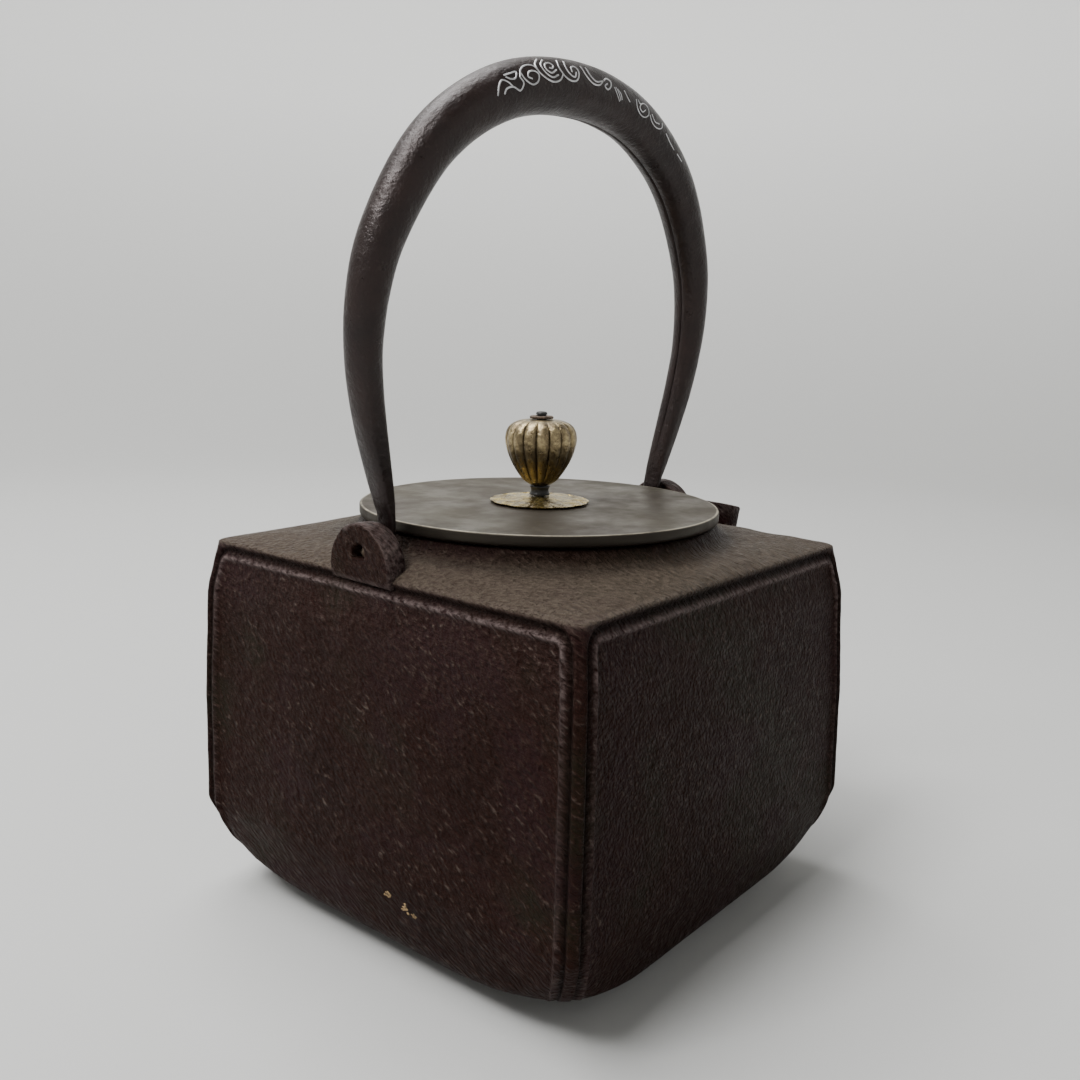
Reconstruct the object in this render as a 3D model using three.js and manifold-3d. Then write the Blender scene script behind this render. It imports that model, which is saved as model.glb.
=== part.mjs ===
// Square cast iron kettle with a folding hollow handle and a lift-off lid.
// Units are millimetres, +Z is up and the origin is the centre of the resting face.
// +X points along the spout. The handle hinges about an axis parallel to X.

import * as THREE from 'three';
import { mergeVertices } from 'three/addons/utils/BufferGeometryUtils.js';
import Module from 'manifold-3d';

const wasm = await Module();
wasm.setup();
const { Manifold, Mesh: SolidMesh } = wasm;

// ---------- driving dimensions ----------

const GAP = 0.3; // between pieces that touch
const WALL = 3; // thickness of the casting

const SHOULDER_Z = 95; // height of the bead round the shoulder
const BODY_TWIST = THREE.MathUtils.degToRad(3); // the square stands slightly askew to the handle line

const COLLAR_RADIUS = 46.8;
const COLLAR_TOP = SHOULDER_Z + 8.1;
const MOUTH_RADIUS = 42;

const LID_RADIUS = 47.5;
const LID_BOTTOM = COLLAR_TOP + GAP;
const LID_THICKNESS = 3;
const LID_TOP = LID_BOTTOM + LID_THICKNESS;
const FLANGE_RADIUS = MOUTH_RADIUS - 0.6;
const FLANGE_DEPTH = 6;

const POST_RADIUS = 1.2;
const POST_HOLE = POST_RADIUS + GAP;
const SEAT_RADIUS = 13;
const SEAT_HEIGHT = 1.5;
const NECK_RADIUS = 2.5;
const NECK_HEIGHT = 2.3;
const KNOB_RADIUS = 9.5;
const KNOB_HEIGHT = 17.3;
const KNOB_LOBES = 16;

const HINGE_Z = SHOULDER_Z + 5.4;
const HINGE_Y = 1.7; // the hinge line runs a little to the +Y side of the middle
const HINGE_X = 51.9; // middle of each flattened end of the handle
const HANDLE_LEAN = THREE.MathUtils.degToRad(4.9); // how far it stands off upright, towards -Y
const HANDLE_HEIGHT = 109.3; // hinge to the middle of the tube at the top
const HANDLE_TOP_RADIUS = 6.6;
const HANDLE_SHEET = 1.2;
const SEAM_WIDTH = 0.6;
const TONGUE_THICKNESS = 1.9;
const EYE_RADIUS = 3.2;

const LUG_INNER_X = 54.2;
const LUG_THICKNESS = 6;
const LUG_HALF_WIDTH = 10.5;
const LUG_HOLE = 2.2;
const PEG_RADIUS = 1.4;

const SPOUT_MOUTH_X = 87;
const SPOUT_MOUTH_Z = SHOULDER_Z + 2;
const SPOUT_MOUTH_RADIUS = 7.4;
const SPOUT_BORE = 5.6;

// ---------- finishes ----------

const finish = (color, roughness, metalness) =>
  new THREE.MeshStandardMaterial({ color, roughness, metalness });

// ---------- solids ----------

function solidOf(geometry) {
  const bare = geometry.clone();
  for (const name of Object.keys(bare.attributes)) {
    if (name !== 'position') bare.deleteAttribute(name);
  }
  const merged = mergeVertices(bare, 1e-4);
  return new Manifold(new SolidMesh({
    numProp: 3,
    vertProperties: new Float32Array(merged.attributes.position.array),
    triVerts: new Uint32Array(merged.index.array),
  }));
}

function geometryOf(solid) {
  const mesh = solid.getMesh();
  const geometry = new THREE.BufferGeometry();
  geometry.setAttribute('position', new THREE.BufferAttribute(mesh.vertProperties, 3));
  geometry.setIndex(new THREE.BufferAttribute(mesh.triVerts, 1));
  geometry.computeVertexNormals();
  return geometry;
}

// Skins a stack of closed rings, each a list of Vector3 of the same length, and closes both ends.
function loft(rings) {
  const count = rings[0].length;
  const positions = rings.flat().flatMap((p) => [p.x, p.y, p.z]);
  const index = [];
  for (let r = 0; r < rings.length - 1; r++) {
    for (let i = 0; i < count; i++) {
      const a = r * count + i;
      const b = r * count + (i + 1) % count;
      index.push(a, b, b + count, a, b + count, a + count);
    }
  }
  const closeEnd = (ring, offset, flip) => {
    const middle = ring.reduce((sum, p) => sum.add(p), new THREE.Vector3()).divideScalar(count);
    const centre = positions.push(middle.x, middle.y, middle.z) / 3 - 1;
    for (let i = 0; i < count; i++) {
      const a = offset + i;
      const b = offset + (i + 1) % count;
      index.push(centre, flip ? b : a, flip ? a : b);
    }
  };
  closeEnd(rings[0], 0, true);
  closeEnd(rings.at(-1), (rings.length - 1) * count, false);
  const geometry = new THREE.BufferGeometry();
  geometry.setAttribute('position', new THREE.Float32BufferAttribute(positions, 3));
  geometry.setIndex(index);
  geometry.computeVertexNormals();
  return geometry;
}

// A turned ring or disc: the profile is a closed loop of [radius, height] points.
function turned(profile, segments = 48) {
  const loop = [...profile, profile[0]].map(([r, z]) => new THREE.Vector2(r, z));
  return new THREE.LatheGeometry(loop, segments).rotateX(Math.PI / 2);
}

function washer(inner, outer, bottom, top, segments = 24) {
  return turned([[inner, bottom], [outer, bottom], [outer, top], [inner, top]], segments);
}

function cylinderAlongX(radius, x0, x1, z, segments = 24) {
  return new THREE.CylinderGeometry(radius, radius, x1 - x0, segments)
    .rotateZ(-Math.PI / 2)
    .translate((x0 + x1) / 2, 0, z);
}

// ---------- body ----------

// Directions round a square section, closer together near the corners.
const QUADRANT = [0, 14, 26, 34, 39, 42, 45, 48, 51, 56, 64, 76];
const DIRECTIONS = [0, 90, 180, 270]
  .flatMap((start) => QUADRANT.map((step) => THREE.MathUtils.degToRad(start + step)));

// Distance from the centre to the edge of a square of half width `half` with rounded corners.
function squareReach(angle, half, corner) {
  const quarter = Math.PI / 2;
  const fromFace = Math.abs(((angle + quarter / 2) % quarter) - quarter / 2);
  const straight = half - corner;
  if (Math.tan(fromFace) * half <= straight) return half / Math.cos(fromFace);
  const along = straight * (Math.cos(fromFace) + Math.sin(fromFace));
  return along + Math.sqrt(along * along - 2 * straight * straight + corner * corner);
}

// The casting isn't quite square: [height, how far its +X side stands out, how far its +Y side does].
const UNEVEN = [
  [0, 0, 0],
  [10, 0.3, 1],
  [24.5, -0.7, 0.3],
  [55, -2.2, 0.5],
  [SHOULDER_Z - 12, -2.4, 0.9],
  [SHOULDER_Z - 3.3, -1, 2.8],
  [SHOULDER_Z, -0.6, 3.2],
  [SHOULDER_Z + 3.6, 0, 0],
  [COLLAR_TOP, 0, 0],
];

function unevenAt(z, column) {
  const upper = Math.max(1, UNEVEN.findIndex((row) => row[0] >= z));
  const [below, above] = [UNEVEN[upper - 1], UNEVEN[upper]];
  return THREE.MathUtils.lerp(below[column], above[column], (z - below[0]) / (above[0] - below[0]));
}

function squareRing(half, corner, z) {
  const stretchX = 1 + unevenAt(z, 1) / half;
  const stretchY = 1 + unevenAt(z, 2) / half;
  return DIRECTIONS.map((angle) => {
    const reach = squareReach(angle, half, corner);
    const x = reach * Math.cos(angle);
    const y = reach * Math.sin(angle);
    return new THREE.Vector3(x > 0 ? x * stretchX : x, y > 0 ? y * stretchY : y, z);
  });
}

// Half width, corner radius and height of the outside, from the resting face to the mouth.
// The last five sections are circles: the foot of the collar and the collar itself.
const KNEE_Z = 24.5;
const OUTSIDE = [
  [44, 38, 0],
  [51, 40, 1.6],
  [56, 36, 4],
  [59, 27, 7],
  [60.4, 18, 10],
  [61.5, 11, 14],
  [62.6, 7, 19],
  [63.6, 3.5, KNEE_Z],
  [63.3, 3.5, 55],
  [62.2, 3.5, SHOULDER_Z - 12],
  [59.9, 3.4, SHOULDER_Z - 3.3],
  [58.9, 3, SHOULDER_Z],
  [57.3, 5, SHOULDER_Z + 0.9],
  [50.5, 50.5, SHOULDER_Z + 3.6],
  [49, 49, SHOULDER_Z + 4.4],
  [48, 48, SHOULDER_Z + 5.2],
  [COLLAR_RADIUS + 0.6, COLLAR_RADIUS + 0.6, SHOULDER_Z + 6.5],
  [COLLAR_RADIUS, COLLAR_RADIUS, COLLAR_TOP],
];

const INSIDE = [
  [40, 34, WALL + 0.5],
  [52, 34, WALL + 4],
  [57, 17, WALL + 9],
  [60.2, 3, KNEE_Z + 1],
  [60.2, 3, 55],
  [59.1, 3, SHOULDER_Z - 12],
  [55, 3, SHOULDER_Z - 5],
  [44, 44, SHOULDER_Z - 0.4],
];

function bodyEnvelope(grow) {
  const rings = OUTSIDE.map(([half, corner, z]) => squareRing(half + grow, corner + grow, z));
  return solidOf(loft(rings).rotateZ(BODY_TWIST));
}

// The seat of a lug in the shoulder, with a trough inside it for the handle's eye.
function lugPocket() {
  const depth = 12;
  const inner = LUG_INNER_X - GAP;
  const slot = new THREE.BoxGeometry(depth, 2 * (LUG_HALF_WIDTH + GAP), 2 * depth)
    .translate(inner + depth / 2, HINGE_Y, SHOULDER_Z - 2.4 + depth);
  const eyeTrough = cylinderAlongX(EYE_RADIUS + 0.7, inner - 4.6, inner + 1, HINGE_Z, 32)
    .translate(0, HINGE_Y, 0);
  return solidOf(slot).add(solidOf(eyeTrough));
}

function bodyShell() {
  const inside = solidOf(loft(INSIDE.map((section) => squareRing(...section))).rotateZ(BODY_TWIST));
  const mouth = solidOf(new THREE.CylinderGeometry(MOUTH_RADIUS, MOUTH_RADIUS, 30, 64)
    .rotateX(Math.PI / 2)
    .translate(0, 0, SHOULDER_Z + 7));
  const pocket = lugPocket();
  return geometryOf(bodyEnvelope(0)
    .subtract(inside)
    .subtract(mouth)
    .subtract(pocket)
    .subtract(pocket.mirror([1, 0, 0]))
    .subtract(spoutTube(SPOUT_BORE, SPOUT_BORE, -6)));
}

// ---------- spout ----------

const spoutPath = new THREE.CubicBezierCurve3(
  new THREE.Vector3(55, 0, 64),
  new THREE.Vector3(74, 0, 70),
  new THREE.Vector3(83, 0, 80),
  new THREE.Vector3(SPOUT_MOUTH_X, 0, SPOUT_MOUTH_Z),
);

// A round tube along the spout's line; `past` lengthens it at both ends.
function spoutTube(rootRadius, mouthRadius, past) {
  const steps = 12;
  const rings = [];
  for (let s = 0; s <= steps; s++) {
    const t = s / steps;
    const at = spoutPath.getPoint(t);
    const along = spoutPath.getTangent(t);
    if (s === 0) at.addScaledVector(along, -Math.abs(past));
    if (s === steps && past > 0) at.addScaledVector(along, past);
    const across = new THREE.Vector3(along.z, 0, -along.x);
    const radius = THREE.MathUtils.lerp(rootRadius, mouthRadius, Math.sin(t * Math.PI / 2));
    const ring = [];
    for (let i = 0; i < 24; i++) {
      const turn = i / 24 * 2 * Math.PI;
      ring.push(at.clone()
        .addScaledVector(across, radius * Math.cos(turn))
        .add(new THREE.Vector3(0, radius * Math.sin(turn), 0)));
    }
    rings.push(ring);
  }
  return solidOf(loft(rings));
}

function spout() {
  return geometryOf(spoutTube(13, SPOUT_MOUTH_RADIUS, 0)
    .subtract(spoutTube(SPOUT_BORE, SPOUT_BORE, 2))
    .subtract(bodyEnvelope(GAP)));
}

// ---------- lugs ----------

// A plate standing on the shoulder: short straight sides under a half round top.
function lug(side) {
  const foot = SHOULDER_Z - 2.1;
  const crownZ = SHOULDER_Z + 1.8;
  const outline = new THREE.Shape();
  outline.moveTo(-LUG_HALF_WIDTH, foot);
  outline.lineTo(LUG_HALF_WIDTH, foot);
  outline.lineTo(LUG_HALF_WIDTH, crownZ);
  outline.absarc(0, crownZ, LUG_HALF_WIDTH, 0, Math.PI, false);
  const hole = new THREE.Path().absarc(0, HINGE_Z, LUG_HOLE, 0, 2 * Math.PI, true);
  outline.holes.push(hole);
  const plate = new THREE.ExtrudeGeometry(outline, {
    depth: LUG_THICKNESS,
    bevelEnabled: false,
    curveSegments: 16,
  });
  return plate
    .rotateX(Math.PI / 2)
    .rotateZ(Math.PI / 2)
    .translate(side > 0 ? LUG_INNER_X : -LUG_INNER_X - LUG_THICKNESS, HINGE_Y, 0);
}

// ---------- handle, drawn upright with the hinge axis at height 0 ----------

const ARM = [
  [HINGE_X, 0],
  [HINGE_X, 7],
  [53.5, 13],
  [56.6, 23.5],
  [59.7, 35.4],
  [61.4, 47.4],
  [60.8, 59.6],
  [57.6, 71.5],
  [44.5, 92.1],
  [24, 105.3],
];
const handlePath = new THREE.CatmullRomCurve3([
  ...ARM.map(([x, z]) => new THREE.Vector3(-x, 0, z)),
  new THREE.Vector3(0, 0, HANDLE_HEIGHT),
  ...ARM.map(([x, z]) => new THREE.Vector3(x, 0, z)).reverse(),
]);

// Half thickness in the handle's plane and across it: flat at the ends, round at the top.
function handleSize(t) {
  const flat = 0.03; // share of the length that stays flat beside the lug
  const swell = Math.max(0, Math.sin(Math.PI * (t - flat) / (1 - 2 * flat)));
  const rise = Math.sin(Math.PI * t);
  return {
    inPlane: TONGUE_THICKNESS / 2 + (HANDLE_TOP_RADIUS - TONGUE_THICKNESS / 2) * swell ** 0.6,
    across: 2.5 + (HANDLE_TOP_RADIUS - 2.5) * rise ** 1.1,
  };
}

// Closed section loops along the handle between two fractions of its length.
function handleRings(from, to, steps, section) {
  const rings = [];
  for (let s = 0; s <= steps; s++) {
    const t = THREE.MathUtils.lerp(from, to, s / steps);
    const at = handlePath.getPointAt(t);
    const along = handlePath.getTangentAt(t);
    const inward = new THREE.Vector3(along.z, 0, -along.x);
    rings.push(section(handleSize(t)).map(([u, v]) =>
      at.clone().addScaledVector(inward, u).add(new THREE.Vector3(0, v, 0))));
  }
  return rings;
}

function oval(thinner, points) {
  return ({ inPlane, across }) => Array.from({ length: points }, (_, i) => {
    const turn = i / points * 2 * Math.PI;
    return [(inPlane - thinner) * Math.cos(turn), (across - thinner) * Math.sin(turn)];
  });
}

function seam({ inPlane }) {
  const half = SEAM_WIDTH / 2;
  return [[0, -half], [inPlane + 1, -half], [inPlane + 1, half], [0, half]];
}

function handleShell() {
  const hollowFrom = 0.14;
  const hollowTo = 1 - hollowFrom;
  let tube = solidOf(loft(handleRings(0, 1, 56, oval(0, 16))))
    .subtract(solidOf(loft(handleRings(hollowFrom, hollowTo, 40, oval(HANDLE_SHEET, 12)))))
    .subtract(solidOf(loft(handleRings(hollowFrom, hollowTo, 40, seam))));
  for (const side of [-1, 1]) {
    const x0 = side * HINGE_X - TONGUE_THICKNESS / 2;
    const x1 = x0 + TONGUE_THICKNESS;
    tube = tube
      .add(solidOf(cylinderAlongX(EYE_RADIUS, x0, x1, 0)))
      .subtract(solidOf(cylinderAlongX(PEG_RADIUS + GAP, x0 - 2, x1 + 2, 0)));
  }
  return geometryOf(tube);
}

// A pin with a flat head against the inside of the flattened end, reaching into the lug's hole.
function peg(side) {
  const headInner = HINGE_X - TONGUE_THICKNESS / 2 - GAP - 1.1;
  const headOuter = headInner + 1.1;
  const tip = LUG_INNER_X + LUG_THICKNESS - 0.8;
  const profile = [
    [0, headInner],
    [2.3, headInner],
    [2.3, headOuter],
    [PEG_RADIUS, headOuter],
    [PEG_RADIUS, tip - 0.4],
    [PEG_RADIUS - 0.4, tip],
    [0, tip],
  ].map(([r, x]) => new THREE.Vector2(r, x));
  return new THREE.LatheGeometry(profile, 20).rotateZ(-Math.PI / 2).rotateZ(side > 0 ? 0 : Math.PI);
}

// ---------- lid and knob ----------

function lidPlate() {
  return turned([
    [POST_HOLE, LID_BOTTOM],
    [LID_RADIUS - 0.5, LID_BOTTOM],
    [LID_RADIUS, LID_BOTTOM + 0.5],
    [LID_RADIUS, LID_TOP - 0.6],
    [LID_RADIUS - 0.6, LID_TOP - 0.1],
    [POST_HOLE, LID_TOP],
  ], 72);
}

function lidFlange() {
  const top = LID_BOTTOM - GAP;
  return washer(FLANGE_RADIUS - 2.4, FLANGE_RADIUS, top - FLANGE_DEPTH, top, 64);
}

const SEAT_BOTTOM = LID_TOP + GAP;
const NECK_BOTTOM = SEAT_BOTTOM + SEAT_HEIGHT + GAP;
const KNOB_BOTTOM = NECK_BOTTOM + NECK_HEIGHT + GAP;
const KNOB_TOP = KNOB_BOTTOM + KNOB_HEIGHT;

// A thin plate of petals with a wavy edge, rising to the neck.
function knobSeat() {
  const petals = 8;
  const points = 64;
  const ring = (radius, z, wave) => Array.from({ length: points }, (_, i) => {
    const turn = i / points * 2 * Math.PI;
    const reach = radius * (1 + wave * Math.cos(petals * turn));
    return new THREE.Vector3(reach * Math.cos(turn), reach * Math.sin(turn), z);
  });
  const plate = solidOf(loft([
    ring(SEAT_RADIUS - 0.4, SEAT_BOTTOM, 0.02),
    ring(SEAT_RADIUS, SEAT_BOTTOM + 0.5, 0.02),
    ring(7, SEAT_BOTTOM + 1, 0.03),
    ring(3.6, SEAT_BOTTOM + SEAT_HEIGHT, 0),
  ]));
  const hole = solidOf(new THREE.CylinderGeometry(POST_HOLE, POST_HOLE, 8, 24)
    .rotateX(Math.PI / 2)
    .translate(0, 0, SEAT_BOTTOM));
  return geometryOf(plate.subtract(hole));
}

function knobNeck() {
  const top = NECK_BOTTOM + NECK_HEIGHT;
  const middle = (NECK_BOTTOM + top) / 2;
  return turned([
    [POST_HOLE, NECK_BOTTOM],
    [NECK_RADIUS + 0.2, NECK_BOTTOM],
    [NECK_RADIUS - 0.1, middle],
    [NECK_RADIUS + 0.2, top],
    [POST_HOLE, top],
  ], 24);
}

// Height share and radius share of the melon-shaped knob.
const KNOB_OUTLINE = [
  [0, 0.27],
  [0.07, 0.47],
  [0.22, 0.69],
  [0.38, 0.85],
  [0.54, 0.95],
  [0.7, 1],
  [0.84, 0.95],
  [0.93, 0.83],
  [0.98, 0.66],
  [1, 0.4],
];

function knobRings(thinner, flute, points) {
  return KNOB_OUTLINE.map(([height, share]) => {
    const z = KNOB_BOTTOM + thinner + height * (KNOB_HEIGHT - 2 * thinner);
    return Array.from({ length: points }, (_, i) => {
      const turn = i / points * 2 * Math.PI;
      const groove = 1 - flute * (1 - Math.abs(Math.cos(KNOB_LOBES / 2 * turn)));
      const reach = (KNOB_RADIUS * share - thinner) * groove;
      return new THREE.Vector3(reach * Math.cos(turn), reach * Math.sin(turn), z);
    });
  });
}

function knobShell() {
  const hole = solidOf(new THREE.CylinderGeometry(POST_HOLE, POST_HOLE, 3 * KNOB_HEIGHT, 24)
    .rotateX(Math.PI / 2)
    .translate(0, 0, KNOB_BOTTOM));
  return geometryOf(solidOf(loft(knobRings(0, 0.06, 64)))
    .subtract(solidOf(loft(knobRings(1.3, 0, 24).slice(1, -1))))
    .subtract(hole));
}

const WASHER_BOTTOM = KNOB_TOP + GAP;
const WASHER_THICKNESS = 0.7;
const CLENCH_TOP = LID_BOTTOM - GAP;
const CLENCH_THICKNESS = 0.8;

// One rod from the upset end above the knob to the riveted end inside the lid.
function knobPost() {
  const headBottom = WASHER_BOTTOM + WASHER_THICKNESS + GAP;
  const tailTop = CLENCH_TOP - CLENCH_THICKNESS - GAP;
  const profile = [
    [0, tailTop - 0.8],
    [1.9, tailTop - 0.8],
    [1.9, tailTop],
    [POST_RADIUS, tailTop],
    [POST_RADIUS, headBottom],
    [1.5, headBottom],
    [1.4, headBottom + 0.8],
    [0, headBottom + 0.8],
  ].map(([r, z]) => new THREE.Vector2(r, z));
  return new THREE.LatheGeometry(profile, 24).rotateX(Math.PI / 2);
}

// ---------- assembly ----------

const castIron = finish(0x3a2b27, 0.8, 0.35);
const forgedIron = finish(0x33282a, 0.45, 0.6);
const darkBronze = finish(0x4a443e, 0.45, 0.7);
const brass = finish(0x8a744a, 0.4, 0.9);
const blackIron = finish(0x1c1b1b, 0.5, 0.7);

const group = new THREE.Group();
const place = (parent, name, geometry, material) => {
  const mesh = new THREE.Mesh(geometry, material);
  mesh.name = name;
  parent.add(mesh);
};

const kettle = new THREE.Group();
place(kettle, 'body_shell', bodyShell(), castIron);
place(kettle, 'spout', spout(), castIron);
place(kettle, 'lug_rear', lug(-1), castIron);
place(kettle, 'lug_spout', lug(1), castIron);

const handle = new THREE.Group();
handle.position.set(0, HINGE_Y, HINGE_Z);
handle.rotation.x = HANDLE_LEAN;
place(handle, 'handle_shell', handleShell(), forgedIron);
place(handle, 'handle_peg_rear', peg(-1), brass);
place(handle, 'handle_peg_spout', peg(1), brass);

const lid = new THREE.Group();
place(lid, 'lid_plate', lidPlate(), darkBronze);
place(lid, 'lid_flange', lidFlange(), darkBronze);
place(lid, 'knob_seat', knobSeat(), brass);
place(lid, 'knob_neck', knobNeck(), blackIron);
place(lid, 'knob_shell', knobShell(), brass);
place(lid, 'knob_washer', washer(POST_HOLE, 3.2, WASHER_BOTTOM, WASHER_BOTTOM + WASHER_THICKNESS), brass);
place(lid, 'knob_post', knobPost(), blackIron);
place(lid, 'clench_washer', washer(POST_HOLE, 4, CLENCH_TOP - CLENCH_THICKNESS, CLENCH_TOP), blackIron);

group.add(kettle, handle, lid);

export default group;
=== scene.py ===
"""Visual model of the square cast iron kettle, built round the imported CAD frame.

Lengths in the tables below are millimetres in the kettle's own frame: +Z up from the resting face,
+X towards the spout, with the handle's hinge axis parallel to X.
"""

import math

import bmesh
import bpy
import numpy as np
from mathutils import Matrix, Vector


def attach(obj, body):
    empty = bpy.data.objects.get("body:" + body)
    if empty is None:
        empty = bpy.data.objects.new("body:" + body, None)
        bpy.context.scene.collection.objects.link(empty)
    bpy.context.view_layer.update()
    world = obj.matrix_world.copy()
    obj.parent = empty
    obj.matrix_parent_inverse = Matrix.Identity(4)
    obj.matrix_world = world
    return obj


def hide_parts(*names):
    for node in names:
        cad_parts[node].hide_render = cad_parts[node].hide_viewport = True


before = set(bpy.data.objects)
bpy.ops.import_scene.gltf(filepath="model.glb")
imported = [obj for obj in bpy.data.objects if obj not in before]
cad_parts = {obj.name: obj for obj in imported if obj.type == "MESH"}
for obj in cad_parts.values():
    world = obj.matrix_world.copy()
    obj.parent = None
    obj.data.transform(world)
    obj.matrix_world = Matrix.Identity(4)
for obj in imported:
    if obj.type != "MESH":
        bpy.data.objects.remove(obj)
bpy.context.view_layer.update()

MM = 0.001
H = 95.0  # the shoulder's edge
TWIST = math.radians(3.0)  # the square body stands askew to the handle line
LID_Z = H + 8.4  # the underside of the lid's disc
HINGE_Y = 1.7
HINGE_Z = H + 5.4
LEAN = math.radians(4.9)  # of the handle at rest, towards -Y


# ---------- mesh helpers ----------

def paint(mesh, values):
    """Stores numbers on the mesh's points, such as how much each is rubbed, highlit and shaded, for the
    materials to read.
    """
    for key, numbers in values.items():
        layer = mesh.attributes.new(key, "FLOAT", "POINT")
        layer.data.foreach_set("value", np.asarray(numbers, np.float32))


def make_mesh(name, points, faces, sharp=40.0, attributes=None):
    """A smooth-shaded mesh object from points in millimetres."""
    mesh = bpy.data.meshes.new(name)
    mesh.from_pydata([tuple(MM * c for c in p) for p in points], [], faces)
    paint(mesh, attributes or {})
    bm = bmesh.new()
    bm.from_mesh(mesh)
    bmesh.ops.recalc_face_normals(bm, faces=bm.faces)
    bm.to_mesh(mesh)
    bm.free()
    mesh.shade_smooth()
    mesh.set_sharp_from_angle(angle=math.radians(sharp))
    obj = bpy.data.objects.new(name, mesh)
    bpy.context.scene.collection.objects.link(obj)
    return obj


def loft(rings, closed_ends=True):
    """Points and faces of a skin over rings that all have the same number of points."""
    rings = [np.asarray(r, float) for r in rings]
    count = len(rings[0])
    points = np.vstack(rings)
    faces = []
    for r in range(len(rings) - 1):
        a = r * count
        for i in range(count):
            j = (i + 1) % count
            faces.append((a + i, a + j, a + count + j, a + count + i))
    if closed_ends:
        points = np.vstack([points, rings[0].mean(0), rings[-1].mean(0)])
        first, last = len(points) - 2, len(points) - 1
        top = (len(rings) - 1) * count
        for i in range(count):
            j = (i + 1) % count
            faces.append((first, j, i))
            faces.append((last, top + i, top + j))
    return points, faces


def looped(rings):
    """Points and faces of a skin whose last ring joins its first."""
    points, faces = loft(rings, closed_ends=False)
    count = len(rings[0])
    last = (len(rings) - 1) * count
    for i in range(count):
        j = (i + 1) % count
        faces.append((last + i, last + j, j, i))
    return points, faces


def turned_rings(profile, segments, wave=None):
    """Rings of a turned piece from (radius, height) pairs.

    wave(radii, heights, angles) returns the radii and heights of a ring that isn't plain.
    """
    angles = np.linspace(0, 2 * math.pi, segments, endpoint=False)
    rings = []
    for radius, height in profile:
        r = np.full(segments, float(radius))
        z = np.full(segments, float(height))
        if wave:
            r, z = wave(r, z, angles)
        rings.append(np.column_stack([r * np.cos(angles), r * np.sin(angles), z]))
    return rings


def turned(name, profile, segments=96):
    points, faces = loft(turned_rings(profile, segments))
    return make_mesh(name, points, faces)


def ring_body(name, profile, segments=96, wave=None, sharp=40.0):
    """A turned ring with a hole: the profile is a closed loop."""
    points, faces = looped(turned_rings(profile, segments, wave))
    return make_mesh(name, points, faces, sharp)


def round_coordinates(obj):
    """Radius, height and angle of every point of a turned piece, in millimetres and radians."""
    x, y, z = np.array([v.co for v in obj.data.vertices]).T
    return np.hypot(x, y) / MM, z / MM, np.arctan2(y, x)


def spin(points, angle):
    c, s = math.cos(angle), math.sin(angle)
    x, y, z = np.asarray(points, float).T
    return np.column_stack([x * c - y * s, x * s + y * c, z])


def smooth_noise(points, scale, seed):
    """Soft random waviness between -1 and 1, with features about `scale` millimetres wide."""
    rng = np.random.default_rng(seed)
    total = np.zeros(len(points))
    for _ in range(10):
        direction = rng.normal(size=3)
        direction *= 2 * math.pi / (scale * rng.uniform(0.7, 1.6)) / np.linalg.norm(direction)
        total += np.sin(points @ direction + rng.uniform(0, 2 * math.pi))
    return total / 5


# ---------- materials ----------

def new_material(name, base, rough, metal, **sockets):
    mat = bpy.data.materials.new(name)
    mat.use_nodes = True
    shader = mat.node_tree.nodes["Principled BSDF"]
    shader.inputs["Base Color"].default_value = (*base, 1)
    shader.inputs["Roughness"].default_value = rough
    shader.inputs["Metallic"].default_value = metal
    for key, value in sockets.items():
        socket = shader.inputs[key.replace("_", " ")]
        socket.default_value = (*value, 1) if isinstance(value, tuple) else value
    return mat, shader


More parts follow.
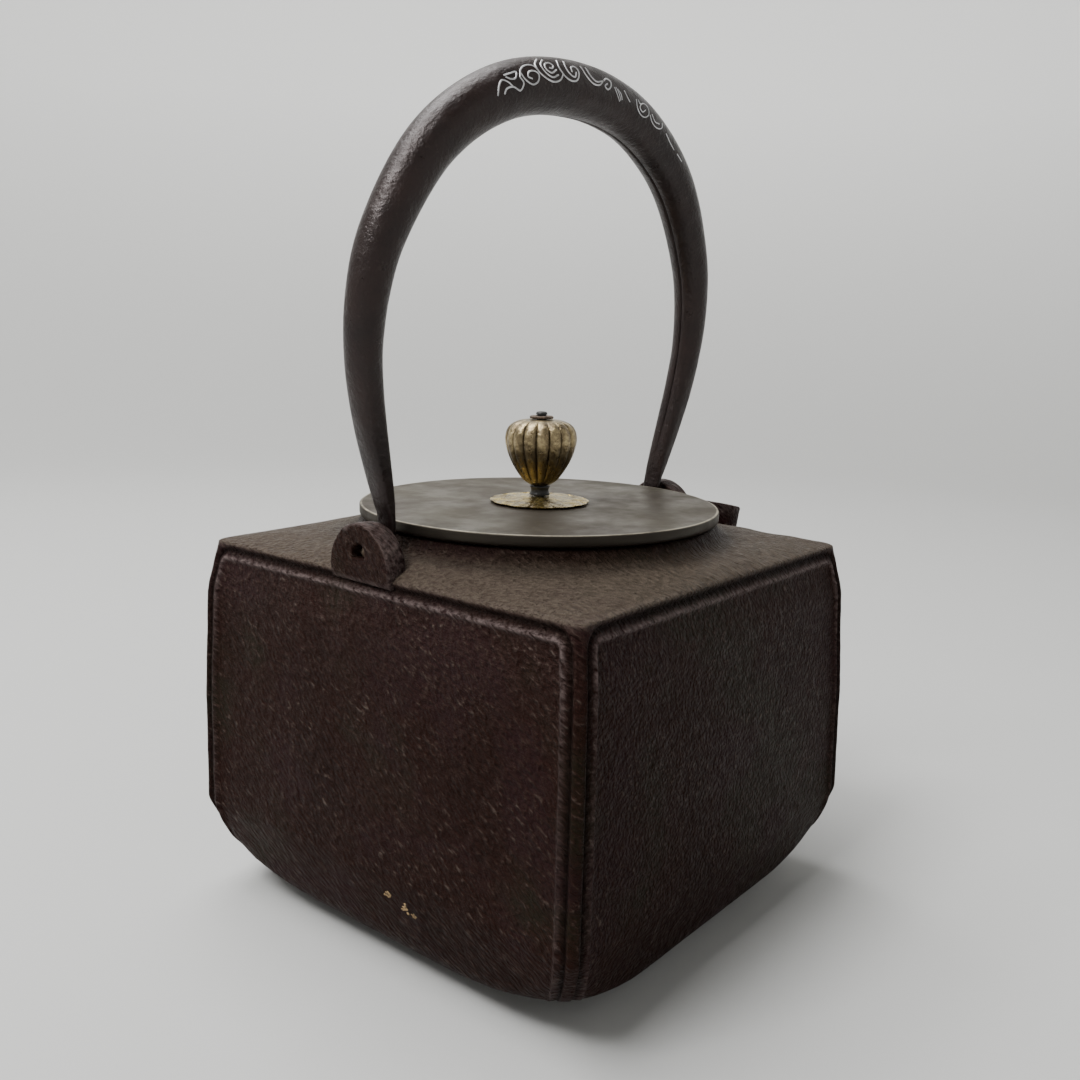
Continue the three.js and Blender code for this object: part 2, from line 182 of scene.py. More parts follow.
class Nodes:
    """Short calls for the node tree of one material."""

    def __init__(self, mat):
        self.tree = mat.node_tree
        self.coords = self.add("ShaderNodeTexCoord").outputs["Object"]

    def add(self, kind, **settings):
        node = self.tree.nodes.new(kind)
        for key, value in settings.items():
            setattr(node, key, value)
        return node

    def link(self, a, b):
        self.tree.links.new(a, b)

    def slanted(self, scale, turn):
        """Coordinates drawn out along the turned Z axis."""
        node = self.add("ShaderNodeMapping", vector_type="TEXTURE")
        node.inputs["Scale"].default_value = scale
        node.inputs["Rotation"].default_value = turn
        self.link(self.coords, node.inputs["Vector"])
        return node.outputs["Vector"]

    def noise(self, scale, detail=4.0, rough=0.6, vector=None):
        node = self.add("ShaderNodeTexNoise")
        node.inputs["Scale"].default_value = scale
        node.inputs["Detail"].default_value = detail
        node.inputs["Roughness"].default_value = rough
        self.link(vector or self.coords, node.inputs["Vector"])
        return node.outputs["Fac"]

    def cells(self, scale):
        node = self.add("ShaderNodeTexVoronoi")
        node.inputs["Scale"].default_value = scale
        self.link(self.coords, node.inputs["Vector"])
        return node.outputs["Distance"]

    def remap(self, value, low, high, out_low=0.0, out_high=1.0):
        node = self.add("ShaderNodeMapRange")
        for key, number in zip(("From Min", "From Max", "To Min", "To Max"), (low, high, out_low, out_high)):
            node.inputs[key].default_value = number
        self.link(value, node.inputs["Value"])
        return node.outputs["Result"]

    def math(self, operation, a, b):
        node = self.add("ShaderNodeMath", operation=operation)
        for socket, value in zip(node.inputs, (a, b)):
            if isinstance(value, (int, float)):
                socket.default_value = value
            else:
                self.link(value, socket)
        return node.outputs["Value"]

    def mix(self, factor, a, b):
        node = self.add("ShaderNodeMix", data_type="RGBA")
        for socket, value in zip((node.inputs["Factor"], node.inputs["A"], node.inputs["B"]), (factor, a, b)):
            if isinstance(value, tuple):
                socket.default_value = (*value, 1)
            elif isinstance(value, float):
                socket.default_value = value
            else:
                self.link(value, socket)
        return node.outputs["Result"]

    def attribute(self, name):
        return self.add("ShaderNodeAttribute", attribute_name=name).outputs["Fac"]

    def bump(self, height, strength, distance, normal=None):
        node = self.add("ShaderNodeBump")
        node.inputs["Strength"].default_value = strength
        node.inputs["Distance"].default_value = distance
        self.link(height, node.inputs["Height"])
        if normal:
            self.link(normal, node.inputs["Normal"])
        return node.outputs["Normal"]


def cast_iron_material(name):
    """Sand-cast skin: short slanting grains and pits, brown-black, with painted highlights, top light and
    shade.
    """
    mat, shader = new_material(name, (0.014, 0.0048, 0.0038), 0.5, 0.0,
                               Specular_IOR_Level=0.062, Specular_Tint=(1.0, 0.62, 0.5))
    n = Nodes(mat)
    patches = n.remap(n.noise(22.0, 5.0), 0.36, 0.64)
    grain = n.noise(1150.0, 3.0, 0.55, n.slanted((1.0, 1.0, 3.2), (-0.88, -0.62, 0.0)))
    # Painted highlights: short bright strokes along the grain, in place of light catching it.
    painted_glints = n.math("MULTIPLY", n.remap(grain, 0.6, 0.72), n.remap(n.noise(70.0, 4.0), 0.42, 0.62, 0.25, 1.0))
    color = n.mix(patches, (0.0088, 0.0034, 0.0026), (0.0148, 0.0046, 0.0034))
    color = n.mix(n.remap(n.noise(21.0, 3.0), 0.5, 0.6, 0.0, 0.9), color, (0.0112, 0.0094, 0.0054))
    color = n.mix(n.remap(n.noise(31.0, 3.0), 0.52, 0.62, 0.0, 0.8), color, (0.0150, 0.0058, 0.0066))
    color = n.mix(n.remap(grain, 0.46, 0.62, 0.0, 0.8), color, (0.0205, 0.0095, 0.0074))
    color = n.mix(painted_glints, color, (0.078, 0.060, 0.050))
    # Raised beads and the shoulder's edge are lightened, partly as rubbed iron and partly as a painted
    # highlight.
    worn_and_highlit = n.math("MULTIPLY", n.attribute("wear_and_highlight"), n.remap(grain, 0.3, 0.6))
    color = n.mix(worn_and_highlit, color, (0.125, 0.096, 0.092))
    # Painted top light: the shoulder and other upward faces are lightened where light falls from above.
    painted_top_light = n.math("MULTIPLY", n.attribute("top"), n.remap(grain, 0.34, 0.64, 0.45, 1.0))
    color = n.mix(painted_top_light, color, (0.073, 0.058, 0.044))
    # Painted shade: darkened in the grooves, round the collar under the lid and inside the body.
    color = n.mix(n.attribute("painted_shade"), color, (0.0030, 0.0024, 0.0022))
    n.link(color, shader.inputs["Base Color"])
    n.link(n.remap(n.noise(400.0, 5.0), 0.3, 0.7, 0.36, 0.58), shader.inputs["Roughness"])
    calm = n.remap(n.attribute("top"), 0.0, 1.0, 1.0, 0.85)
    normal = n.bump(n.math("MULTIPLY", grain, calm), 1.0, 0.0018)
    normal = n.bump(n.cells(700.0), 0.45, 0.0005, normal)
    normal = n.bump(n.noise(260.0, 5.0), 0.6, 0.0012, normal)
    n.link(normal, shader.inputs["Normal"])
    return mat


def handle_material():
    """Rolled iron with a satin brown-black patina."""
    mat, shader = new_material("handle_patina", (0.013, 0.0075, 0.0075), 0.3, 0.0,
                               Specular_IOR_Level=0.34, Specular_Tint=(1.0, 0.9, 0.88))
    n = Nodes(mat)
    patches = n.remap(n.noise(45.0, 4.0), 0.35, 0.68)
    color = n.mix(patches, (0.0070, 0.0046, 0.0046), (0.0175, 0.0094, 0.0080))
    color = n.mix(n.remap(n.noise(900.0, 4.0), 0.6, 0.8), color, (0.03, 0.021, 0.018))
    n.link(color, shader.inputs["Base Color"])
    n.link(n.remap(n.noise(260.0, 4.0), 0.3, 0.7, 0.27, 0.43), shader.inputs["Roughness"])
    normal = n.bump(n.noise(1100.0, 4.0), 0.5, 0.0004)
    normal = n.bump(n.noise(230.0, 4.0), 0.5, 0.0008, normal)
    n.link(normal, shader.inputs["Normal"])
    return mat


def lid_material():
    """Patinated bronze, satin, with fine turning marks, a bright rubbed rim with a painted highlight, and
    painted shade.
    """
    mat, shader = new_material("lid_bronze", (0.05, 0.04, 0.03), 0.4, 0.2,
                               Specular_IOR_Level=0.3, Specular_Tint=(1.0, 0.91, 0.74))
    n = Nodes(mat)
    patches = n.remap(n.noise(40.0, 5.0, 0.6), 0.35, 0.65)
    color = n.mix(patches, (0.019, 0.013, 0.010), (0.045, 0.039, 0.028))
    color = n.mix(n.remap(n.noise(12.0, 4.0), 0.5, 0.66, 0.0, 0.8), color, (0.032, 0.031, 0.023))
    color = n.mix(n.remap(n.noise(420.0, 5.0), 0.55, 0.8), color, (0.022, 0.017, 0.014))
    # The rim: rubbed bronze with a painted highlight line.
    worn_and_highlit = n.math("MULTIPLY", n.attribute("wear_and_highlight"), n.remap(n.noise(160.0, 4.0), 0.3, 0.55))
    color = n.mix(worn_and_highlit, color, (0.30, 0.27, 0.21))
    # Painted shade down the side of the disc and underneath it.
    color = n.mix(n.attribute("painted_shade"), color, (0.014, 0.011, 0.009))
    n.link(color, shader.inputs["Base Color"])
    n.link(n.remap(n.noise(90.0, 5.0), 0.35, 0.65, 0.36, 0.58), shader.inputs["Roughness"])
    rings = n.add("ShaderNodeTexWave", wave_type="RINGS", rings_direction="Z")
    rings.inputs["Scale"].default_value = 420.0
    rings.inputs["Distortion"].default_value = 1.5
    n.link(n.coords, rings.inputs["Vector"])
    normal = n.bump(rings.outputs["Fac"], 0.05, 0.0001)
    normal = n.bump(n.noise(600.0, 5.0), 0.2, 0.0002, normal)
    n.link(normal, shader.inputs["Normal"])
    return mat


def brass_material(name, bright, dull, rough):
    """Old brass: bright flecks where it is handled, brown between them, and painted shade where the mesh
    marks it.
    """
    mat, shader = new_material(name, bright, rough, 0.9, Specular_IOR_Level=0.5)
    n = Nodes(mat)
    flecks = n.remap(n.noise(420.0, 6.0, 0.7), 0.44, 0.6)
    color = n.mix(flecks, dull, bright)
    color = n.mix(n.remap(n.noise(170.0, 4.0), 0.5, 0.68), color, tuple(0.62 * c for c in dull))
    # Painted shade, as marked on the mesh: the knob's grooves and lower half.
    color = n.mix(n.attribute("painted_shade"), color, tuple(0.45 * c for c in dull))
    n.link(color, shader.inputs["Base Color"])
    n.link(n.remap(n.noise(600.0, 4.0), 0.3, 0.7, rough - 0.12, rough + 0.16), shader.inputs["Roughness"])
    normal = n.bump(n.noise(1300.0, 4.0), 0.4, 0.0003)
    normal = n.bump(n.noise(420.0, 4.0), 0.6, 0.0007, normal)
    n.link(normal, shader.inputs["Normal"])
    return mat


def plain_metal_material(name, base, rough, metal):
    mat, shader = new_material(name, base, rough, metal)
    n = Nodes(mat)
    color = n.mix(n.remap(n.noise(400.0, 5.0), 0.35, 0.7), base, tuple(min(1.0, 1.9 * c) for c in base))
    n.link(color, shader.inputs["Base Color"])
    n.link(n.remap(n.noise(700.0, 4.0), 0.3, 0.7, rough - 0.08, rough + 0.12), shader.inputs["Roughness"])
    n.link(n.bump(n.noise(1200.0, 4.0), 0.3, 0.0002), shader.inputs["Normal"])
    return mat


IRON = cast_iron_material("cast_iron")
HANDLE = handle_material()
LID = lid_material()
KNOB_BRASS = brass_material("knob_brass", (0.50, 0.40, 0.22), (0.21, 0.16, 0.09), 0.34)
SEAT_BRASS = brass_material("seat_brass", (0.64, 0.50, 0.18), (0.26, 0.185, 0.066), 0.24)
PEG_BRASS = brass_material("peg_brass", (0.22, 0.17, 0.13), (0.1, 0.07, 0.05), 0.5)
BLACK = plain_metal_material("black_iron", (0.014, 0.0135, 0.013), 0.45, 0.2)
SILVER = plain_metal_material("silver_inlay", (0.42, 0.42, 0.43), 0.4, 0.75)
RUST = plain_metal_material("rust_chip", (0.2, 0.135, 0.065), 0.8, 0.0)


def place(obj, body, slot, material, *nodes):
    """Gives a piece its material and its body, and hides the CAD nodes that it stands for; the slot is not
    used.
    """
    obj.data.materials.clear()
    obj.data.materials.append(material)
    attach(obj, body)
    if nodes:
        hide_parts(*nodes)
    return obj


# ---------- body ----------

# Directions from the middle of the body, in degrees from a face's middle to a corner. They are closest near
# the corner, where the beads are.
HALF_SIDE = [0, 2.5, 5, 7.5, 10, 12.5, 15, 17.5, 20, 22.5, 25, 27.5, 30, 32, 34, 36, 37.5, 38.5, 39.3]
HALF_SIDE += list(np.arange(40.0, 45.01, 0.25))
QUADRANT = HALF_SIDE + [90 - a for a in HALF_SIDE[-2:0:-1]]
DIRECTIONS = np.radians([q + a for q in (0, 90, 180, 270) for a in QUADRANT])
FROM_FACE = np.abs((DIRECTIONS + math.pi / 4) % (math.pi / 2) - math.pi / 4)

# Height, half width and corner radius of the outside, from the resting face to the shoulder's edge.
OUTSIDE = np.array([
    (0, 44, 38), (1.6, 51, 40), (4, 56, 36), (7, 59, 27), (10, 60.4, 18), (14, 61.5, 11), (19, 62.6, 7),
    (24.5, 63.6, 3.5), (55, 63.3, 3.5), (83, 62.2, 3.5), (91.7, 59.9, 3.4), (95, 58.9, 3),
])
# The same for the inside, from the mouth down to the floor.
INSIDE = [
    (94.6, 44, 44), (90, 55, 3), (83, 59.1, 3), (55, 60.2, 3), (25.5, 60.2, 3), (12, 57, 17), (7, 52, 34),
    (3.5, 40, 34),
]
# The casting isn't quite square: how far its +X and +Y sides stand off their nominal place, by height.
UNEVEN = np.array([
    (0, 0, 0), (10, 0.3, 1.0), (24.5, -0.7, 0.3), (55, -2.2, 0.5), (83, -2.4, 0.9), (91.7, -1.0, 2.8),
    (95, -0.6, 3.2), (98.6, 0, 0), (110, 0, 0),
])
SHOULDER_HALF = 58.9
SHOULDER_CORNER = 3.0
COLLAR_FOOT = 50.5
COLLAR_RISE = 3.6  # from the shoulder's edge to the foot of the collar
# The shoulder from its edge to the collar's foot, as (share of the way, height).
SHOULDER = [
    (0.0, 95.1), (0.015, 95.35), (0.04, 95.6), (0.09, 95.9), (0.18, 96.3), (0.3, 96.8), (0.45, 97.3),
    (0.6, 97.8), (0.75, 98.2), (0.88, 98.6), (1.0, 99.0),
]
# The collar over its lip and down into the mouth, as (radius, height, painted top light, painted shade).
COLLAR = [
    (49.5, 99.4, .8, .4), (48.8, 99.8, .6, .3), (48.2, 100.5, .35, .25), (47.6, 101.4, .2, .35),
    (47.0, 102.5, .1, .4), (46.5, 103.0, 0, .5), (46.0, 103.1, 0, .5), (43, 103.1, 0, .5),
    (42.3, 102.9, 0, .5), (42, 102.4, 0, .6), (42, 99, 0, .8), (42, 95.6, 0, .8),
]
PANEL_EDGE = 5.0  # from the corner to the bead round a panel
PANEL_TOP = 91.7


def reach(half, corner):
    """Distance from the middle to the edge of a rounded square, for each direction."""
    straight = half - corner
    along = straight * (np.cos(FROM_FACE) + np.sin(FROM_FACE))
    arc = along + np.sqrt(np.maximum(along ** 2 - 2 * straight ** 2 + corner ** 2, 0))
    return np.where(np.tan(FROM_FACE) * half <= straight, half / np.cos(FROM_FACE), arc)


def uneven(x, y, half, z):
    """Moves the +X and +Y sides of a ring to where the casting has them."""
    dx, dy = (np.interp(z, UNEVEN[:, 0], UNEVEN[:, k]) for k in (1, 2))
    return x * np.where(x > 0, 1 + dx / half, 1), y * np.where(y > 0, 1 + dy / half, 1)


def square_ring(half, corner, z, push=None):
    """A rounded square across the body, pushed out of its faces by an amount for each direction."""
    r = reach(half, corner)
    x, y = uneven(r * np.cos(DIRECTIONS), r * np.sin(DIRECTIONS), half, z)
    if push is not None:
        side = np.round(DIRECTIONS / (math.pi / 2)) * (math.pi / 2)
        x, y = x + push * np.cos(side), y + push * np.sin(side)
    return np.column_stack([x, y, np.full(len(x), float(z))])


def softened(heights, column, width=1.8):
    """A column of OUTSIDE with its creases rounded over a couple of millimetres."""
    offsets = np.linspace(-width / 2, width / 2, 9)
    samples = [np.interp(heights + o, OUTSIDE[:, 0], OUTSIDE[:, column]) for o in offsets]
    soft = np.mean(samples, axis=0)
    exact = np.interp(heights, OUTSIDE[:, 0], OUTSIDE[:, column])
    keep = np.clip(np.minimum(heights, H - heights) / (width / 2), 0, 1)
    return soft * keep + exact * (1 - keep)


def panel_relief(half, z):
    """How far the panel's bead stands out and the groove round it sinks in, and how much the bead is rubbed
    and highlit.
    """
    beside = half - reach(half, SHOULDER_CORNER) * np.sin(FROM_FACE) - PANEL_EDGE
    below = PANEL_TOP - z
    corner, height = 1.8, 0.75
    a, b = corner - beside, corner - below
    inside = corner - np.hypot(np.maximum(a, 0), np.maximum(b, 0)) - np.minimum(np.maximum(a, b), 0)
    fade = min(1.0, max(0.0, (z - 3.0) / 10.0))
    bead = np.exp(-((inside - 0.2) / 0.68) ** 2)
    groove = np.exp(-((inside + 1.75) / 0.8) ** 2)
    field = np.clip(inside / 0.8 + 1.5, 0, 1)
    return fade * (height * bead - height * field - groove), fade * bead, fade * groove


def build_body():
    """The cast body as one closed skin: up the outside, over the collar and down the inside."""
    levels = np.concatenate([
        [0, 0.5, 1.0, 1.6, 2.3, 3.1, 4, 5, 6, 7, 8, 9, 10, 11.3, 12.6, 14, 15.6, 17.3, 19],
        np.arange(20.2, 29, 0.9), np.arange(30, 86, 2.6), np.arange(86.5, 94.9, 0.34),
    ])
    halves, corners = softened(levels, 1), softened(levels, 2)
    rings, wear_and_highlight, top, painted_shade = [], [], [], []

    def add(ring, worn_and_highlit, bright, dark):
        rings.append(ring)
        for store, value in ((wear_and_highlight, worn_and_highlit), (top, bright), (painted_shade, dark)):
            store.append(np.broadcast_to(np.asarray(value, float), (len(DIRECTIONS),)))

    for z, half, corner in zip(levels, halves, corners):
        push, bead, groove = panel_relief(half, z)
        # The bead and the shoulder's edge: rubbed iron with a painted highlight, more towards the top.
        near_edge = np.clip((z - 93.6) / 1.4, 0, 1)
        worn_and_highlit = bead * (0.3 + 0.6 * np.clip((z - 60) / 30, 0, 1) ** 2) + 0.2 * near_edge
        # The upper sides also get a little painted top light; the groove round each panel gets painted shade.
        worn_and_highlit = worn_and_highlit + 0.06 * np.clip((z - 70) / 20, 0, 1)
        add(square_ring(half, corner, z, push), worn_and_highlit, 0.3 * near_edge, 0.8 * groove)
    outer = reach(SHOULDER_HALF, SHOULDER_CORNER)
    collar = reach(COLLAR_FOOT, COLLAR_FOOT)
    # The shoulder: a painted highlight along its edge, painted top light all over, painted shade at the
    # collar's foot.
    for share, z in SHOULDER:
        r = outer + (collar - outer) * share
        x, y = uneven(r * np.cos(DIRECTIONS), r * np.sin(DIRECTIONS), SHOULDER_HALF, H + COLLAR_RISE * share)
        ring = np.column_stack([x, y, np.full(len(r), z)])
        add(ring, 0.5 if share < 0.05 else 0.0, 1.0, 0.45 * max(0.0, share - 0.7) / 0.3)
    for r, z, bright, dark in COLLAR:
        add(square_ring(r, r, z), 0.0, bright, dark)
    # Painted shade all over the inside.
    for z, half, corner in INSIDE:
        add(square_ring(half, corner, z), 0.0, 0.0, 0.8)
    points, faces = loft(rings)
    stores = {"wear_and_highlight": wear_and_highlight, "top": top, "painted_shade": painted_shade}
    values = {key: np.append(np.concatenate(store), [0, 1]) for key, store in stores.items()}
    points = spin(points, TWIST)
    radial = points * [1, 1, 0]
    radial /= np.maximum(np.linalg.norm(radial, axis=1, keepdims=True), 1e-6)
    # Slow waves in the sides, inwards only, and in the shoulder's height.
    wobble = np.minimum(0, 0.16 * smooth_noise(points, 22, 3) + 0.09 * smooth_noise(points, 6, 4) - 0.13)
    on_sides = np.clip((points[:, 2] - 2) / 10, 0, 1) * np.clip((96 - points[:, 2]) / 3, 0, 1)
    points = points + radial * (wobble * on_sides)[:, None]
    on_shoulder = np.clip((points[:, 2] - 95.5) / 1, 0, 1) * (points[:, 2] < 99.5)
    points[:, 2] += 0.18 * smooth_noise(points, 11, 5) * on_shoulder
    return make_mesh("kettle_body", points, faces, 50.0, values)


place(build_body(), "kettle", "cast_iron", IRON, "body_shell")


# ---------- spout ----------

def bezier(points, t):
    a, b, c, d = (np.asarray(p, float) for p in points)
    u = 1 - t
    at = a * u ** 3 + 3 * b * t * u ** 2 + 3 * c * t * t * u + d * t ** 3
    along = 3 * (b - a) * u * u + 6 * (c - b) * t * u + 3 * (d - c) * t * t
    return at, along / np.linalg.norm(along)


SPOUT_LINE = [(55, 0, 64), (74, 0, 70), (83, 0, 80), (87, 0, H + 2)]
SPOUT_ROOT = 13  # radius where it leaves the body
SPOUT_TIP = 7.3
SPOUT_BORE = 5.6
# The rolled lip, as (radius, distance past the end of the line).
SPOUT_LIP = [
    (7.36, -0.9), (7.38, -0.4), (7.2, -0.1), (6.8, 0.05), (6.2, -0.05), (5.75, -0.4), (SPOUT_BORE, -1.0),
]


def spout_ring(t, radius, extra=0.0, segments=48):
    """A ring across the spout's line at t, from 0 at the body to 1 at the lip."""
    at, along = bezier(SPOUT_LINE, t)
    at = at + along * extra
    across = np.array([along[2], 0, -along[0]])
    turn = np.linspace(0, 2 * math.pi, segments, endpoint=False)
    return at + radius * (np.cos(turn)[:, None] * across + np.sin(turn)[:, None] * np.array([0, 1, 0]))


def build_spout():
    rings = []
    for t in np.linspace(0.0, 0.97, 26):
        flare = 2.2 * math.exp(-((t - 0.15) / 0.09) ** 2)
        rings.append(spout_ring(t, SPOUT_ROOT + (SPOUT_TIP - SPOUT_ROOT) * math.sin(t * math.pi / 2) + flare))
    rings += [spout_ring(1.0, radius, extra) for radius, extra in SPOUT_LIP]
    rings += [spout_ring(t, SPOUT_BORE) for t in np.linspace(0.95, 0.02, 16)]
    points, faces = looped(rings)
    points = points + 0.1 * smooth_noise(points, 9, 8)[:, None] * np.array([0.6, 0.6, 0])
    z = points[:, 2]
    values = {"wear_and_highlight": np.clip((z - 94) / 4, 0, 0.5), "top": np.zeros(len(z)), "painted_shade": np.zeros(len(z))}
    return make_mesh("spout_body", points, faces, 50.0, values)


place(build_spout(), "kettle", "cast_iron", IRON, "spout")


# ---------- lugs ----------

LUG_CROWN = H + 1.8  # centre of its half round top
LUG_HALF = 10.5
LUG_HOLE = 2.2
LUG_INSET = 1.7  # of the ring that keeps the faces flat inside the worn rim
# Distances along X from the inner face to the outer, each with how far the edge draws in there.
LUG_LAYERS = [(54.2, 0.7), (54.4, 0.3), (54.9, 0.0), (59.4, 0.0), (59.9, 0.25), (60.15, 0.75)]


def lug_outline(shrink):
    """Upright plate with a half round top and straight sides down into the shoulder."""
    half, foot, crown = LUG_HALF - shrink, H - 1.9 + shrink, LUG_CROWN
    points = [(-half, foot), (half, foot), (half, foot + 1.5)]
    for k in range(33):
        a = math.pi * k / 32
        points.append((half * math.cos(a), crown + half * math.sin(a)))
    points.append((-half, foot + 1.5))
    return np.array(points)


def build_lug(name, side):
    inner, outer = LUG_LAYERS[0][0], LUG_LAYERS[-1][0]
    edge = lug_outline(LUG_LAYERS[0][1])
    order = np.unwrap(np.arctan2(edge[:, 1] - HINGE_Z, edge[:, 0]))

    def ring(flat, x):
        return np.column_stack([np.full(len(flat), side * x), flat[:, 0] + HINGE_Y, flat[:, 1]])

    def bore(radius, x):
        flat = np.column_stack([radius * np.cos(order), HINGE_Z + radius * np.sin(order)])
        return ring(flat, x)

    rings = [bore(LUG_HOLE + 0.35, inner), ring(lug_outline(LUG_INSET), inner)]
    rings += [ring(lug_outline(shrink), x) for x, shrink in LUG_LAYERS]
    rings += [ring(lug_outline(LUG_INSET), outer), bore(LUG_HOLE + 0.4, outer), bore(LUG_HOLE + 0.1, 59.95)]
    rings += [bore(LUG_HOLE, 59.5), bore(LUG_HOLE, 54.6), bore(LUG_HOLE + 0.1, 54.35)]
    points, faces = looped(rings)
    sunk = 0.27 * np.clip(H + 0.6 - points[:, 2], 0, 3) * (np.abs(points[:, 0]) > 57)
    points[:, 0] -= side * sunk
    points = points + 0.12 * smooth_noise(points, 7, 11 if side > 0 else 12)[:, None] * np.array([0.5, 1, 1])
    # The rim is lightened, and the whole plate gets a little painted top light.
    rim = np.hypot(points[:, 1] - HINGE_Y, points[:, 2] - LUG_CROWN) > 9.9
    values = {"wear_and_highlight": 0.5 * rim, "top": 0.06 * np.ones(len(points)), "painted_shade": np.zeros(len(points))}
    return make_mesh(name, points, faces, 35.0, values)


place(build_lug("lug_plate_rear", -1), "kettle", "cast_iron", IRON, "lug_rear")
place(build_lug("lug_plate_spout", 1), "kettle", "cast_iron", IRON, "lug_spout")


# ---------- handle ----------

ARM = [(51.9, 0), (51.9, 7), (53.5, 13), (56.6, 23.5), (59.7, 35.4), (61.4, 47.4), (60.8, 59.6), (57.6, 71.5),
       (44.5, 92.1), (24, 105.3)]
HANDLE_POINTS = np.array([(-x, z) for x, z in ARM] + [(0, 109.3)] + [(x, z) for x, z in ARM[::-1]], float)
TUBE = 6.5  # radius at the crest
TONGUE = 0.95  # half thickness of the flat ends
END_HALF = 2.5  # half width of the ends above the eyes
EYE = 3.2  # radius of the rounded ends about the hinge


def centripetal(points, steps=40):
    """A smooth curve through the points, densely sampled."""
    padded = np.vstack([2 * points[0] - points[1], points, 2 * points[-1] - points[-2]])
    out = []
    for i in range(1, len(padded) - 2):
        p0, p1, p2, p3 = padded[i - 1:i + 3]
        d0, d1, d2 = (np.linalg.norm(b - a) ** 0.5 for a, b in ((p0, p1), (p1, p2), (p2, p3)))
        m1 = ((p1 - p0) / d0 - (p2 - p0) / (d0 + d1) + (p2 - p1) / d1) * d1
        m2 = ((p2 - p1) / d1 - (p3 - p1) / (d1 + d2) + (p3 - p2) / d2) * d1
        square, cube = 3 * (p2 - p1) - 2 * m1 - m2, 2 * (p1 - p2) + m1 + m2
        for t in np.linspace(0, 1, steps, endpoint=False):
            out.append(p1 + m1 * t + square * t * t + cube * t ** 3)
    out.append(points[-1])
    return np.array(out)


HANDLE_CURVE = centripetal(HANDLE_POINTS)
HANDLE_RUN = np.concatenate([[0], np.cumsum(np.linalg.norm(np.diff(HANDLE_CURVE, axis=0), axis=1))])
HANDLE_LENGTH = HANDLE_RUN[-1]


def handle_at(run):
    """Middle of the bar and its direction, at a distance along it from the rear eye."""
    at, a, b = (np.array([np.interp(run + offset, HANDLE_RUN, HANDLE_CURVE[:, k]) for k in (0, 1)])
                for offset in (0, -0.6, 0.6))
    along = (b - a) / np.linalg.norm(b - a)
    return np.array([at[0], 0, at[1]]), np.array([along[0], 0, along[1]])


def handle_size(run):
    """Half thickness in the arch's plane and half width across it."""
    share = run / HANDLE_LENGTH
    swell = max(0.0, math.sin(math.pi * (share - 0.03) / 0.94))
    rise = max(0.0, math.sin(math.pi * share))
    return TONGUE + (TUBE - TONGUE) * swell ** 0.6, END_HALF + (TUBE - END_HALF) * rise ** 1.1


def seat_handle(points):
    """From the handle's own upright frame to its place on the kettle."""
    c, s = math.cos(LEAN), math.sin(LEAN)
    points = np.asarray(points, float)
    y = points[:, 1] * c - points[:, 2] * s
    z = points[:, 1] * s + points[:, 2] * c
    return np.column_stack([points[:, 0], y + HINGE_Y, z + HINGE_Z])


def handle_point(run, turn, lift=0.0):
    """A point on the handle's skin; turn 0 faces inwards, pi outwards."""
    at, along = handle_at(run)
    inward = np.array([along[2], 0, -along[0]])
    in_plane, across = handle_size(run)
    sideways = np.array([0, (across + lift) * math.sin(turn), 0])
    return at + inward * (in_plane + lift) * math.cos(turn) + sideways


SECTION = 64  # points round the bar
SEAM = {0: 0.5, 1: 0.1, SECTION - 1: 0.1}  # depth of the folded seam on the inner side, by point


def build_handle():
    """A bar rolled from sheet: round at the crest, flattening to a tongue with a rounded end on each pin."""
    turns = np.linspace(0, 2 * math.pi, SECTION, endpoint=False)
    turns[1], turns[SECTION - 1] = 0.06, -0.06
    turns[2], turns[SECTION - 2] = 0.1, -0.1
    rings = []
    ends = [-EYE + 0.02, -3.1, -2.9, -2.5, -2.0, -1.4, -0.7, 0, 0.7, 1.4, 2.0, 2.6, 3.4, 4.4, 5.6]
    runs = ends + list(np.linspace(7, HANDLE_LENGTH - 7, 150)) + [HANDLE_LENGTH - e for e in reversed(ends)]
    for run in runs:
        inner_run = min(max(run, 0.0), HANDLE_LENGTH)
        at, along = handle_at(inner_run)
        at = at + along * (run - inner_run)
        inward = np.array([along[2], 0, -along[0]])
        in_plane, across = handle_size(inner_run)
        past = min(run, HANDLE_LENGTH - run)
        if past < 2.0:
            across = max(0.25, math.sqrt(max(0.0, EYE ** 2 - past ** 2)))
        elif past < 5.6:
            w = (past - 2.0) / 3.6
            across = (1 - w) * math.sqrt(EYE ** 2 - 4) + w * across
        flat = min(1.0, max(0.0, 1 - (past - 6) / 40))
        power = 2 / (2 + 2.2 * flat)
        c, s = np.cos(turns), np.sin(turns)
        u = np.sign(c) * np.abs(c) ** power * in_plane
        v = np.sign(s) * np.abs(s) ** (1 if flat == 0 else power * 0.5 + 0.5) * across
        depth = min(1.0, max(0.0, (past - 12) / 14))
        for index, amount in SEAM.items():
            u[index] -= depth * amount
        rings.append(at + u[:, None] * inward + v[:, None] * np.array([0, 1, 0]))
    points, faces = loft(rings)
    points = points + 0.07 * smooth_noise(points, 12, 21)[:, None] * np.array([1, 0.6, 1])
    return make_mesh("handle_tube", seat_handle(points), faces, 38.0)


place(build_handle(), "handle", "handle_iron", HANDLE, "handle_shell")


# ---------- silver inlay on the handle ----------

def stroke(*points):
    return [tuple(p) for p in centripetal(np.array(points, float), 7)]


